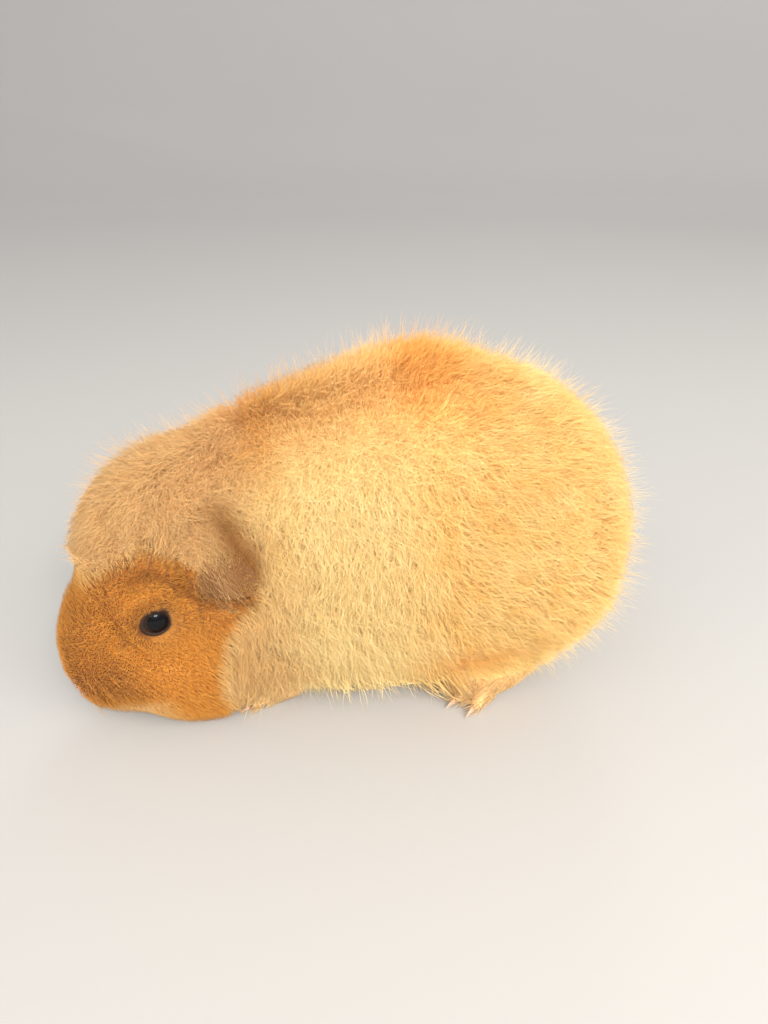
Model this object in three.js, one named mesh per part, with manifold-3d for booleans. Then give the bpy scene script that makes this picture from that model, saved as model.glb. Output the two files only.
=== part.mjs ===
// A life-size, still model of a long-haired guinea pig, crouched with its head low and turned a little to its left.
// Millimetres, +Z up, head towards -X, the animal's left side towards -Y, floor at Z = 0.
// Every solid reaches out to the tips of the coat. Head and body are one rounded field, parted by thin cuts.
import * as THREE from 'three';
import { mergeVertices } from 'three/addons/utils/BufferGeometryUtils.js';
import Module from 'manifold-3d';

const wasm = await Module();
wasm.setup();

// Driving dimensions.
const gap = 0.3; // between neighbouring solids
const span = 400; // longer than the animal: half spaces, and where each wrapping ray starts
const headDetail = 9; // how finely the head is wrapped
const bodyDetail = 8;
const bodyCentre = [18, 0, 56]; // the body is wrapped round this point
const headCentre = [-4, 0, 4]; // the head is wrapped round this point of the head frame

// The head frame has x towards the nose, y to the animal's left and z up, with its origin between the eyes.
const headAt = [-70, -6.2, 40.7];
const headPitch = 23.7; // nose down
const headYaw = 16.1; // nose to the animal's left
const headRoll = 5.6; // crown to the animal's right

const neckFront = { at: [-40, 0, 55], pitch: 5, yaw: 12 }; // cut between head and neck
const neckBack = -18; // row x of the cut between neck and trunk
const rumpFront = 36; // row x of the cut between trunk and rump

const eye = { at: [0.2, 18.8, 3.4], radius: 6, lidSlant: 32 }; // in the head frame, on the left side
const ear = { root: [-16, 23, 21.5], tip: [-30.2, 43.3, 4.6], width: 21, thickness: 1.6, cup: 4 };
const nose = { at: [37.4, 0, -13], radii: [3.2, 5.2, 3.4] };
const nostril = { out: 2.3, length: 2.2, width: 0.8, turn: 35 };
const mouth = { lip: [36, 0, -20], slope: 5, jawBack: 6 }; // the cut under the upper lip, down towards the throat

// A foot's frame has x towards its toes, with its origin on the floor under the ball of the foot.
const forefoot = {
  toes: 4, at: [-38, 12.5], splay: 2, sole: 14, soleWidth: 9, soleHeight: 7.5,
  toeLength: 7, toeRadius: 2.1, fan: 13, clawLength: 3.6, clawRadius: 0.8,
};
const hindfoot = {
  toes: 3, at: [36, 25.5], splay: 30, sole: 27, soleWidth: 11, soleHeight: 9.5,
  toeLength: 8, toeRadius: 2.6, fan: 14, clawLength: 4.2, clawRadius: 0.9,
};
const foreleg = { at: [-28, 22, 16], radii: [13, 18, 25], tilt: -10 };
const hindleg = { at: [53, 34, 22], radii: [28, 26, 31], tilt: 14 };

// Colours of the coat and of what is bare.
const gold = 0xe5a75c;
const paleGold = 0xf0c68a;
const ginger = 0xc98a4a;
const cream = 0xecd3ab;
const straw = 0xe6c592;
const flesh = 0xb98678;
const slate = 0x7c6657;
const horn = 0xc9a98f;
const black = 0x0d0a0c;

const degrees = THREE.MathUtils.degToRad;

// Frames.

// Yaw, then pitch, then roll, about the axes of the frame as it turns.
function turned(pitch, yaw, roll = 0) {
  return new THREE.Matrix4().makeRotationFromEuler(
    new THREE.Euler(degrees(roll), degrees(pitch), degrees(yaw), 'ZYX'),
  );
}

function frameAt(at, pitch = 0, yaw = 0, roll = 0) {
  return new THREE.Matrix4().makeTranslation(...at).multiply(turned(pitch, yaw, roll));
}

const rowFrame = new THREE.Matrix4();
const headFrame = frameAt(headAt, headPitch, 180 + headYaw, headRoll);

function inFrame(frame, at) {
  return new THREE.Vector3(...at).applyMatrix4(frame);
}

// The outline, as rounded lumps.

function lump(frame, at, radii, pitch = 0) {
  const place = frame.clone().multiply(frameAt(at, pitch));
  return { inverse: place.invert(), radii };
}

// How far a point lies outside a lump, near enough for wrapping.
function lumpDistance({ inverse, radii: [a, b, c] }, point) {
  const local = point.clone().applyMatrix4(inverse);
  const share = Math.hypot(local.x / a, local.y / b, local.z / c);
  const slope = Math.hypot(local.x / (a * a), local.y / (b * b), local.z / (c * c));
  return slope < 1e-9 ? -Math.min(a, b, c) : (share * (share - 1)) / slope;
}

// The union of several distances, with its creases rounded over about the given width.
function softUnion(distances, softness) {
  return distances.reduce((one, other) => {
    const overlap = Math.max(softness - Math.abs(one - other), 0) / softness;
    return Math.min(one, other) - (overlap * overlap * softness) / 4;
  });
}

function fieldOf(lumps, softness) {
  return (point) => softUnion(lumps.map((one) => lumpDistance(one, point)), softness);
}

const bodyField = fieldOf([
  lump(rowFrame, [22, 0, 63], [55.5, 54, 61.2]), // barrel
  lump(rowFrame, [60, 0, 59], [32.5, 54, 49]), // rump
  lump(rowFrame, [-11, 0, 56], [44.5, 44, 57]), // shoulders
  lump(rowFrame, [-33.5, -2, 61], [33, 31, 45.5]), // nape
  lump(rowFrame, [-45, -3, 33], [21, 31, 40.5]), // ruff behind the cheeks
  lump(rowFrame, [48, -12, 13], [21, 14, 15]), // left haunch, down to the hind foot
  lump(rowFrame, [48, 12, 13], [21, 14, 15]), // right haunch
], 16);

const faceField = fieldOf([
  lump(headFrame, [-8, 0, 3], [27, 26, 23]), // brow and temples
  lump(headFrame, [11.5, 0, 4], [24.5, 16, 16], 28), // bridge of the nose
  lump(headFrame, [18, 0, -12.5], [20, 15, 14]), // muzzle
  lump(headFrame, [15.5, 0, -20.5], [18.5, 12, 9]), // chin
  lump(headFrame, [0, 12, -20], [22.5, 15.5, 23.5]), // left cheek
  lump(headFrame, [0, -12, -20], [22.5, 15.5, 23.5]), // right cheek
], 9);

const mopField = fieldOf([
  lump(headFrame, [-20, 0, 23.5], [32, 33, 25]), // long hair of the crown
  lump(headFrame, [-3.5, 0, 18], [24.5, 27, 12.5]), // forelock over the brow
], 10);

function coatField(point) {
  const head = softUnion([faceField(point), mopField(point)], 4);
  return softUnion([bodyField(point), head], 8);
}

// Solids.

function solidOf(geometry) {
  const bare = geometry.clone();
  bare.deleteAttribute('normal');
  bare.deleteAttribute('uv');
  const merged = mergeVertices(bare, 1e-5);
  return new wasm.Manifold(new wasm.Mesh({
    numProp: 3,
    vertProperties: new Float32Array(merged.getAttribute('position').array),
    triVerts: new Uint32Array(merged.getIndex().array),
  }));
}

// Moves every vertex of a geometry to where a function of its place puts it.
function shaped(geometry, move) {
  const places = geometry.getAttribute('position');
  for (let i = 0; i < places.count; i += 1) {
    places.setXYZ(i, ...move(new THREE.Vector3().fromBufferAttribute(places, i)).toArray());
  }
  return geometry;
}

// The outermost place where a ray from a centre meets a field's surface.
function rayEnd(centre, direction, field) {
  const along = (t) => centre.clone().addScaledVector(direction, t);
  let outside = span;
  let inside = outside;
  while (field(along(inside)) > 0) {
    outside = inside;
    inside = outside - Math.max(field(along(outside)) * 0.6, 0.5);
  }
  for (let halving = 0; halving < 16; halving += 1) {
    const middle = (inside + outside) / 2;
    if (field(along(middle)) > 0) outside = middle;
    else inside = middle;
  }
  return along(outside);
}

// A closed skin over a field, wrapped round a centre.
function wrapped(centre, detail, field) {
  const ball = new THREE.IcosahedronGeometry(1, detail);
  return solidOf(shaped(ball, (place) => rayEnd(centre, place.normalize(), field)));
}

function ellipsoid(frame, at, radii, tilt = 0, steps = 14) {
  const ball = new THREE.SphereGeometry(1, steps, Math.round(steps * 0.7));
  ball.rotateX(Math.PI / 2).scale(...radii);
  ball.applyMatrix4(frame.clone().multiply(frameAt(at, tilt)));
  return solidOf(ball);
}

// Everything on the side of a plane that its frame's x axis points to, or on the other side.
function halfSpace(frame, sign = 1, offset = 0) {
  const box = new THREE.BoxGeometry(span, 2 * span, 2 * span);
  box.translate(sign * (span / 2 + offset), 0, 0);
  return solidOf(box.applyMatrix4(frame));
}

const underFloor = halfSpace(frameAt([0, 0, 0], 90));

// What grows from the head.

function eyeball(side) {
  const [x, y, z] = eye.at;
  return ellipsoid(headFrame, [x, side * y, z], Array(3).fill(eye.radius), eye.lidSlant, 12);
}

// The socket fits round the back of the eyeball and runs out through the lids, as an almond.
function eyeSocket(side) {
  const [x, y, z] = eye.at;
  const radius = eye.radius + gap;
  const socket = new THREE.SphereGeometry(radius, 12, 8).rotateX(Math.PI / 2);
  shaped(socket, (place) => {
    const out = Math.max(side * place.y, 0) / radius;
    return place.set(place.x * (1 + 0.35 * out), place.y * (1 + out), place.z * (1 + 0.1 * out));
  });
  return solidOf(socket.applyMatrix4(headFrame.clone().multiply(frameAt([x, side * y, z], eye.lidSlant))));
}

// The ear's frame has z from its root to its tip and y outwards.
function earFrame(side) {
  const root = new THREE.Vector3(ear.root[0], side * ear.root[1], ear.root[2]);
  const tip = new THREE.Vector3(ear.tip[0], side * ear.tip[1], ear.tip[2]);
  const along = tip.clone().sub(root).normalize();
  const across = new THREE.Vector3(0, side, 0).cross(along).normalize();
  const out = along.clone().cross(across);
  const place = new THREE.Matrix4().makeBasis(across, out, along).setPosition(root.add(tip).multiplyScalar(0.5));
  return headFrame.clone().multiply(place);
}

// A cupped, drooping leaf, broadest above its middle.
function earLeaf(side, grow = 0) {
  const halfLength = new THREE.Vector3(...ear.root).distanceTo(new THREE.Vector3(...ear.tip)) / 2;
  const leaf = new THREE.SphereGeometry(1, 12, 6);
  leaf.rotateX(Math.PI / 2);
  shaped(leaf, (place) => {
    const across = place.x * (ear.width / 2 + grow) * (1 - 0.2 * place.z);
    const along = place.z * (halfLength + grow);
    const cup = (across / (ear.width / 2)) ** 2 + 0.6 * (along / halfLength) ** 2 - 0.5;
    return place.set(across, place.y * (ear.thickness / 2 + 1.5 * grow) - ear.cup * cup, along);
  });
  return solidOf(leaf.applyMatrix4(earFrame(side)));
}

function nosePad(grow = 0) {
  return ellipsoid(headFrame, nose.at, nose.radii.map((radius) => radius + grow), 0, 8);
}

function nostrilSlit(side) {
  const [x, , z] = nose.at;
  const middle = [x + nose.radii[0], side * nostril.out, z];
  const slit = headFrame.clone().multiply(frameAt(middle, 0, 0, side * nostril.turn));
  return ellipsoid(slit, [0, 0, 0], [1.4, nostril.length / 2, nostril.width / 2], 0, 6);
}

// Feet.

function footFrame(foot, side) {
  const [x, y] = foot.at;
  return frameAt([x, side * y, 0], 0, 180 - side * foot.splay);
}

// A toe's own frame has x along it, with its origin at the ball of the foot. The middle toes reach furthest.
function toeFrame(foot, side, toe) {
  const place = toe - (foot.toes - 1) / 2;
  const back = place * place * foot.toeRadius * 0.6;
  const across = place * foot.toeRadius * 1.9;
  return footFrame(foot, side).multiply(frameAt([-back, across, 0], 0, place * foot.fan));
}

// A round-ended toe, arched at its knuckle.
function toeFlesh(foot, side, toe, grow = 0) {
  const { toeLength: length, toeRadius: radius } = foot;
  const rod = new THREE.CapsuleGeometry(radius + grow, length, 2, 6, 2);
  rod.rotateZ(-Math.PI / 2);
  shaped(rod, ({ x, y, z }) => {
    const arch = Math.cos((Math.PI * x) / (length + 2 * radius));
    return new THREE.Vector3(x + length / 2 - radius, y, z + radius * (0.8 + 0.6 * arch));
  });
  return solidOf(rod.applyMatrix4(toeFrame(foot, side, toe)));
}

// A short horn, bent down towards the floor.
function claw(foot, side, toe) {
  const { clawLength: length, clawRadius: radius } = foot;
  const cone = new THREE.ConeGeometry(radius, length, 6, 2);
  cone.rotateZ(-Math.PI / 2).translate(length / 2, 0, 0);
  shaped(cone, (place) => place.setZ(place.z - radius * 1.6 * (place.x / length) ** 2));
  cone.translate(foot.toeLength + gap, 0, foot.toeRadius);
  return solidOf(cone.applyMatrix4(toeFrame(foot, side, toe)));
}

function toeNumbers(foot) {
  return [...Array(foot.toes).keys()];
}

function footFlesh(foot, side) {
  const radii = [foot.sole / 2 + 1, foot.soleWidth / 2, foot.soleHeight / 2];
  const sole = ellipsoid(footFrame(foot, side), [-foot.sole / 2 + 2, 0, foot.soleHeight * 0.42], radii, 4, 8);
  const toes = toeNumbers(foot).map((toe) => toeFlesh(foot, side, toe));
  return toes.reduce((joined, one) => joined.add(one), sole).subtract(underFloor);
}

// A plain pocket round the whole foot, open to the floor, cut out of the coat that covers it.
function footPocket(foot, side) {
  const outerToe = (foot.toes - 1) / 2;
  const reach = foot.toeLength + foot.clawLength + 2;
  const spread = outerToe * foot.toeRadius * 1.9 + reach * Math.sin(degrees(outerToe * foot.fan)) + 3;
  const outline = new THREE.Shape();
  outline.absarc(2 - foot.sole, 0, foot.soleWidth / 2, Math.PI / 2, (3 * Math.PI) / 2);
  outline.absarc(reach - spread, 0, spread, -Math.PI / 2, Math.PI / 2);
  const pocket = new THREE.ExtrudeGeometry(outline, {
    depth: foot.soleHeight + 2, bevelEnabled: false, curveSegments: 4,
  });
  return solidOf(pocket.translate(0, 0, -1).applyMatrix4(footFrame(foot, side)));
}

function legBulge(leg, side, grow = 0) {
  const { at: [x, y, z], radii, tilt } = leg;
  return ellipsoid(rowFrame, [x, side * y, z], radii.map((radius) => radius + grow), tilt, 12);
}

// Parting the body.

const sides = [{ name: 'left', row: -1, head: 1 }, { name: 'right', row: 1, head: -1 }];

const neckFrame = frameAt(neckFront.at, neckFront.pitch, 180 + neckFront.yaw);
const trunkFrame = frameAt([neckBack, 0, 0], 0, 180);
const rumpFrame = frameAt([rumpFront, 0, 0], 0, 180);
const mouthFrame = headFrame.clone().multiply(frameAt(mouth.lip, 90 - mouth.slope));
const throatFrame = headFrame.clone().multiply(frameAt([mouth.jawBack, 0, 0], -14));

function without(solid, cutters) {
  return cutters.reduce((rest, cutter) => rest.subtract(cutter), solid);
}

// The solid in front of a frame, along its x axis, or behind it, half the gap clear of the cut.
function inFrontOf(frame, solid) {
  return solid.intersect(halfSpace(frame, 1, gap / 2));
}

function behind(frame, solid) {
  return solid.intersect(halfSpace(frame, -1, gap / 2));
}

const footPockets = sides.flatMap(({ row }) => [footPocket(forefoot, row), footPocket(hindfoot, row)]);
const legPlaces = sides.flatMap(({ row }) => [legBulge(foreleg, row, gap), legBulge(hindleg, row, gap)]);
const earPlaces = sides.map(({ head }) => earLeaf(head, gap));
const eyeSockets = sides.map(({ head }) => eyeSocket(head));
const jawPlace = halfSpace(mouthFrame, 1, -gap / 2).intersect(halfSpace(throatFrame, 1, -gap / 2));

const wrappedHead = wrapped(inFrame(headFrame, headCentre), headDetail, coatField);
const wrappedBody = wrapped(new THREE.Vector3(...bodyCentre), bodyDetail, coatField);
const wholeHead = inFrontOf(
  neckFrame, without(wrappedHead, [underFloor, ...footPockets, ...eyeSockets, ...earPlaces, nosePad(gap)]),
);
const torso = behind(neckFrame, without(wrappedBody, [underFloor, ...footPockets, ...earPlaces]));
const barrel = without(torso, legPlaces);

// The model.

function meshOf(name, solid, color, roughness) {
  const { vertProperties, triVerts } = solid.getMesh();
  const geometry = new THREE.BufferGeometry();
  geometry.setAttribute('position', new THREE.BufferAttribute(new Float32Array(vertProperties), 3));
  geometry.setIndex(new THREE.BufferAttribute(new Uint32Array(triVerts), 1));
  geometry.computeVertexNormals();
  const mesh = new THREE.Mesh(geometry, new THREE.MeshStandardMaterial({ color, roughness, metalness: 0 }));
  mesh.name = name;
  return mesh;
}

const model = new THREE.Group();
model.add(
  meshOf('head', wholeHead.subtract(jawPlace), ginger, 0.9),
  meshOf('lower_jaw', inFrontOf(throatFrame, inFrontOf(mouthFrame, wholeHead)), cream, 0.9),
  meshOf('nose', sides.reduce((pad, { head }) => pad.subtract(nostrilSlit(head)), nosePad()), flesh, 0.6),
  meshOf('neck', inFrontOf(trunkFrame, barrel), cream, 0.9),
  meshOf('trunk', inFrontOf(rumpFrame, behind(trunkFrame, barrel)), paleGold, 0.9),
  meshOf('rump', behind(rumpFrame, barrel), gold, 0.9),
);
for (const { name, row, head } of sides) {
  model.add(
    meshOf(`eye_${name}`, eyeball(head), black, 0.05),
    meshOf(`ear_${name}`, earLeaf(head), slate, 0.75),
    meshOf(`foreleg_${name}`, torso.intersect(legBulge(foreleg, row)), paleGold, 0.9),
    meshOf(`hindleg_${name}`, torso.intersect(legBulge(hindleg, row)), gold, 0.9),
    meshOf(`forefoot_${name}`, footFlesh(forefoot, row), straw, 0.85),
    meshOf(`hindfoot_${name}`, footFlesh(hindfoot, row), straw, 0.85),
  );
  for (const [limb, foot] of [['forefoot', forefoot], ['hindfoot', hindfoot]]) {
    for (const toe of toeNumbers(foot)) {
      model.add(meshOf(`${limb}_${name}_claw_${toe + 1}`, claw(foot, row, toe), horn, 0.45));
    }
  }
}
const box = new THREE.Box3().setFromObject(model, true);
model.position.set(-(box.min.x + box.max.x) / 2, -(box.min.y + box.max.y) / 2, -box.min.z);

export default model;
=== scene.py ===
import math

import bmesh
import bpy
import numpy as np
from mathutils import Matrix, Vector, noise
from mathutils.bvhtree import BVHTree
from mathutils.kdtree import KDTree


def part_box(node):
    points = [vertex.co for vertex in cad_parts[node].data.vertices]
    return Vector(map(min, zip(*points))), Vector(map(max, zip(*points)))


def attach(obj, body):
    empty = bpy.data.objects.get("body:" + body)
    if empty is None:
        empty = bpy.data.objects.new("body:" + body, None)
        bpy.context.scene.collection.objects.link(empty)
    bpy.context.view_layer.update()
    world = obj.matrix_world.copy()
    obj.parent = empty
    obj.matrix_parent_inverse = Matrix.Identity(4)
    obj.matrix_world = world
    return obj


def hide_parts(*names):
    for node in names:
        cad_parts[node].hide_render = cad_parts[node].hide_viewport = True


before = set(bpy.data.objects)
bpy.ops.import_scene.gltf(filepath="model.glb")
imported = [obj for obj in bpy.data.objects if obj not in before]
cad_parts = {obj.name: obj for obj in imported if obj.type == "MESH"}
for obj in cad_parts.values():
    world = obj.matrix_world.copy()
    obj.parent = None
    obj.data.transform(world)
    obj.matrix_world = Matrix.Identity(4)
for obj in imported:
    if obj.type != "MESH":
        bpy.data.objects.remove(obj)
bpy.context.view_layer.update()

scene = bpy.context.scene
mm = 0.001
rng = np.random.default_rng(11)
sides = {"left": 1, "right": -1}  # as the head's own y axis counts them

camera = {"place": (-0.0241, -0.2312, 0.1822), "turn": 9.2, "dip": 27.0, "lens": 27.0}
suns = {
    # where it shines from, strength, softness in degrees, colour
    "fill": ((-0.9, -0.85, 0.45), 2.2, 60, (0.97, 0.98, 1.0)),
    "rim": ((0.3, 0.9, 0.6), 0.42, 20, (1.0, 0.97, 0.92)),
}
windows = {
    # where it shines from, how far away, width and height, watts
    "key": ((0.22, -0.85, 0.66), 1.4, (2.0, 0.7), 37),
    "glint": ((0.14, -0.76, 0.6), 1.4, (0.42, 0.08), 14),
}
room = {
    "skyStrength": 0.93, "sky": (0.98, 0.98, 1.0), "floor": (0.35, 0.34, 0.325),
    "radius": 3.6, "bend": 2.0, "height": 2.2,  # a flat floor that bends up into a round wall
}


def addCamera():
    lens = bpy.data.cameras.new("camera")
    lens.lens, lens.sensor_width, lens.clip_start = camera["lens"], 36, 0.01
    piece = bpy.data.objects.new("camera", lens)
    piece.location = camera["place"]
    piece.rotation_euler = (math.radians(90 - camera["dip"]), 0, math.radians(-camera["turn"]))
    scene.collection.objects.link(piece)
    scene.camera = piece


def placeLamp(lamp, source, away=1.0):
    piece = bpy.data.objects.new(lamp.name, lamp)
    piece.location = Vector(source).normalized() * away
    piece.rotation_euler = Vector(source).to_track_quat("Z", "Y").to_euler()
    piece.visible_camera = False
    scene.collection.objects.link(piece)
    return piece


def addSun(name, source, strength, softness, colour):
    lamp = bpy.data.lights.new(name, "SUN")
    lamp.energy, lamp.angle, lamp.color = strength, math.radians(softness), colour
    placeLamp(lamp, source)


def addWindow(name, source, away, size, watts):
    lamp = bpy.data.lights.new(name, "AREA")
    lamp.shape, lamp.energy, lamp.color = "RECTANGLE", watts, (1.0, 0.97, 0.92)
    lamp.size, lamp.size_y = size
    placeLamp(lamp, source, away).visible_glossy = name == "glint"  # the only lamp that the eyes mirror


addCamera()
for name, values in suns.items():
    addSun(name, *values)
for name, values in windows.items():
    addWindow(name, *values)
scene.view_settings.view_transform = "Standard"
scene.cycles.diffuse_bounces = 8  # light travels far between pale hairs
scene.world = bpy.data.worlds.new("studio")
scene.world.use_nodes = True
scene.world.node_tree.nodes["Background"].inputs["Color"].default_value = (*room["sky"], 1)
scene.world.node_tree.nodes["Background"].inputs["Strength"].default_value = room["skyStrength"]
print("camera and light are in place")


class Wire:
    # One output of a material's nodes, on which sums can be written.
    def __init__(self, finish, socket):
        self.finish, self.socket = finish, socket

    def maths(self, operation, first, second=0.0):
        return self.finish.node("Math", {"operation": operation}, {0: first, 1: second})

    def __add__(self, other):
        return self.maths("ADD", self, other)

    def __sub__(self, other):
        return self.maths("SUBTRACT", self, other)

    def __rsub__(self, other):
        return self.maths("SUBTRACT", other, self)

    def __mul__(self, other):
        return self.maths("MULTIPLY", self, other)

    def __pow__(self, other):
        return self.maths("POWER", self, other)

    __radd__, __rmul__ = __add__, __mul__

    def clamped(self):
        return self.maths("MINIMUM", self.maths("MAXIMUM", self, 0.0), 1.0)


class Finish:
    # A material and its nodes.
    def __init__(self, name):
        self.material = bpy.data.materials.new(name)
        self.material.use_nodes = True
        self.tree = self.material.node_tree
        self.tree.nodes.clear()

    def node(self, kind, settings=None, values=None, out=0):
        made = self.tree.nodes.new("ShaderNode" + kind)
        for name, value in (settings or {}).items():
            if name == "stops":
                while len(made.color_ramp.elements) < len(value):
                    made.color_ramp.elements.new(0.5)
                for element, (place, colour) in zip(made.color_ramp.elements, value):
                    element.position, element.color = place, (*colour, 1)
            else:
                setattr(made, name, value)
        for name, value in (values or {}).items():
            if isinstance(value, Wire):
                self.tree.links.new(value.socket, made.inputs[name])
            elif isinstance(value, tuple) and len(value) == 3 and made.inputs[name].type == "RGBA":
                made.inputs[name].default_value = (*value, 1)
            else:
                made.inputs[name].default_value = value
        return Wire(self, made.outputs[out] if made.outputs else None)

    def blend(self, share, first, second):
        return self.node("Mix", {"data_type": "RGBA"}, {0: share, 6: first, 7: second}, out=2)

    def tinted(self, colour, tint):
        mix = {"data_type": "RGBA", "blend_type": "MULTIPLY"}
        return self.node("Mix", mix, {0: 1.0, 6: colour, 7: tint}, out=2)

    def spots(self, scale, detail=2.0, stretch=None):
        place = self.node("TexCoord", out="Object")
        if stretch:
            place = self.node("Mapping", None, {"Vector": place, "Scale": stretch})
        return self.node("TexNoise", None, {"Vector": place, "Scale": scale, "Detail": detail})

    def attribute(self, name, out="Fac"):
        return self.node("Attribute", {"attribute_name": name}, out=out)

    def split(self, name):
        # the three channels of a colour attribute
        colour = self.attribute(name, "Color")
        channels = self.node("SeparateColor", None, {"Color": colour}).socket.node.outputs
        return [Wire(self, channel) for channel in channels]

    def surface(self, shader):
        self.node("OutputMaterial", None, {"Surface": shader})
        return self.material


coatColours = {
    "gold": (0.95, 0.7, 0.22),
    "orange": (0.9, 0.47, 0.1),
    # pale: the colour of the painted sunlight on shoulder and flank, and one end of the random mottle
    "pale": (1.0, 0.96, 0.55),
    "ginger": (0.68, 0.325, 0.058),
    "cream": (0.76, 0.54, 0.28),
    # dark: painted shade in partings, under forelock and ears, on the face and the crest, and also the ears'
    # own darker hair
    "dark": (0.33, 0.13, 0.03),
    "straw": (0.85, 0.67, 0.36),
    "light": (1.0, 0.73, 0.3),  # of what shines through a tuft
}
coatLook = {
    # brightness at the root and its gain to the tip, a painted shade deep in the coat, then of the dullest
    # tuft and the brightest one's gain
    "rootShadeToTip": (0.78, 0.26), "perTuft": (0.76, 0.36),
    "redness": 0.55, "blueness": 1.6,  # powers of the brightness: below 1, a colour stays in the dark parts, as painted light scattered deep in the coat
    "through": 0.44, "mottle": 90.0, "blotches": (130.0, 2.4, 1.0), "blotchOrange": 0.35,
}
bareColours = {
    "ear": ((0.085, 0.038, 0.014), (0.19, 0.09, 0.032)),
    "nose": ((0.42, 0.2, 0.15), (0.55, 0.3, 0.22)),
    "toe": ((0.66, 0.33, 0.23), (0.78, 0.46, 0.33)),
    "lid": ((0.016, 0.009, 0.006), (0.04, 0.022, 0.015)),
}


# The coat's colour from the markings, painted highlights and painted shade that skin and tufts both carry.
def coatColour(finish):
    ginger, cream, pale = finish.split("markings")
    dark, straw, orange = finish.split("patches")
    scale, contrast, floor = coatLook["blotches"]
    blotch = (finish.spots(scale, 3.0) * contrast - floor).clamped()
    orange = (orange + blotch * coatLook["blotchOrange"]).clamped()
    colour = finish.blend(finish.spots(coatLook["mottle"], 3.0), coatColours["gold"], coatColours["pale"])
    layers = {"orange": orange, "pale": pale, "cream": cream, "straw": straw, "ginger": ginger, "dark": dark}
    for name, share in layers.items():
        colour = finish.blend(share, colour, coatColours[name])
    return colour


def coatMaterial():
    finish = Finish("coat")
    # painted shade: a tuft is darker towards its root, and redder there as painted light scattered in the
    # coat's depth
    (root, rise), (least, spread) = coatLook["rootShadeToTip"], coatLook["perTuft"]
    brightness = (root + rise * finish.attribute("along")) * (least + spread * finish.attribute("shade"))
    red, blue = brightness ** coatLook["redness"], brightness ** coatLook["blueness"]
    paintedDepthTint = finish.node("CombineColor", None, {"Red": red, "Green": brightness, "Blue": blue})
    colour = finish.tinted(coatColour(finish), paintedDepthTint)
    hair = finish.node("BsdfPrincipled", None, {
        "Base Color": colour, "Roughness": 0.6, "Specular IOR Level": 0.2,
        "Sheen Weight": 0.12, "Sheen Roughness": 0.5,
    })
    glow = finish.node("BsdfTranslucent", None, {"Color": coatColours["light"]})
    return finish.surface(finish.node("MixShader", None, {0: coatLook["through"], 1: hair, 2: glow}))


def skinMaterial():
    finish = Finish("skin")
    ear, nose, toe = finish.split("bare")
    pores = finish.spots(1400.0, 4.0)
    veins = finish.spots(260.0, 5.0)
    lid = finish.attribute("lid")
    depth = 0.35 + 0.5 * pores  # painted shade: the skin is darkened under the hair, and speckled
    colour = finish.tinted(coatColour(finish), finish.node("CombineColor", None, {
        "Red": depth * 1.15, "Green": depth, "Blue": depth * 0.85}))
    layers = {"ear": (ear, veins), "nose": (nose, pores), "toe": (toe, veins), "lid": (lid, pores)}
    for name, (share, grain) in layers.items():
        colour = finish.blend(share, colour, finish.blend(grain, *bareColours[name]))
    relief = pores * 0.6 + veins * 0.4
    bump = finish.node("Bump", None, {"Strength": 0.5, "Distance": 0.0002, "Height": relief})
    skin = finish.node("BsdfPrincipled", None, {
        "Base Color": colour, "Roughness": 0.7, "Specular IOR Level": 0.2, "Normal": bump,
        "Subsurface Weight": 0.08, "Subsurface Scale": 0.001,
    })
    return finish.surface(skin)


eyeColours = {"pupil": (0.002, 0.002, 0.003), "iris": ((0.012, 0.007, 0.005), (0.035, 0.017, 0.01))}
clawColours = ((0.4, 0.22, 0.14), (0.58, 0.38, 0.27))


def eyeMaterial():
    finish = Finish("eye")
    # the iris is a brown ring so dark that only a strong light shows it
    ring = finish.attribute("ring")
    iris = finish.blend(finish.spots(900.0, 3.0), *eyeColours["iris"])
    colour = finish.blend((ring * 6.0 - 2.4).clamped(), eyeColours["pupil"], iris)
    ball = finish.node("BsdfPrincipled", None, {
        "Base Color": colour, "Roughness": 0.3, "Specular IOR Level": 0.1, "Coat Weight": 0.35,
        "Coat Roughness": 0.02, "Coat IOR": 1.36,
    })
    return finish.surface(ball)


def clawMaterial():
    finish = Finish("claw")
    grain = finish.spots(700.0, 4.0, (1.0, 1.0, 3.0))
    colour = finish.blend(grain, *clawColours)
    bump = finish.node("Bump", None, {"Strength": 0.3, "Distance": 0.0001, "Height": grain})
    horn = finish.node("BsdfPrincipled", None, {
        "Base Color": colour, "Roughness": 0.35 + 0.15 * grain, "Normal": bump, "Subsurface Weight": 0.2,
        "Subsurface Scale": 0.001,
    })
    return finish.surface(horn)


def floorMaterial():
    finish = Finish("floor")
    colour = finish.blend(finish.spots(3.0, 2.0), room["floor"], tuple(x * 1.03 for x in room["floor"]))
    return finish.surface(finish.node("BsdfPrincipled", None, {"Base Color": colour, "Roughness": 0.8}))


finishes = {
    "coat": coatMaterial(), "skin": skinMaterial(), "eye": eyeMaterial(),
    "claw": clawMaterial(), "floor": floorMaterial(),
}


def pieceFrom(name, bm, finish):
    mesh = bpy.data.meshes.new(name)
    bm.to_mesh(mesh)
    bm.free()
    piece = bpy.data.objects.new(name, mesh)
    scene.collection.objects.link(piece)
    mesh.materials.append(finishes[finish])
    mesh.polygons.foreach_set("use_smooth", np.ones(len(mesh.polygons), bool))
    return piece


def settled(piece):
    # the piece's mesh with its modifiers made real
    bpy.context.view_layer.update()
    mesh = bpy.data.meshes.new_from_object(piece.evaluated_get(bpy.context.evaluated_depsgraph_get()))
    piece.modifiers.clear()
    piece.data = mesh
    return piece


def pointsOf(mesh):
    places = np.empty(len(mesh.vertices) * 3)
    mesh.vertices.foreach_get("co", places)
    return places.reshape(-1, 3)


def setPoints(mesh, places):
    mesh.vertices.foreach_set("co", places.astype(np.float32).ravel())
    mesh.update()


def normalsOf(mesh):
    normals = np.empty(len(mesh.vertices) * 3)
    mesh.vertices.foreach_get("normal", normals)
    return normals.reshape(-1, 3)


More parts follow.
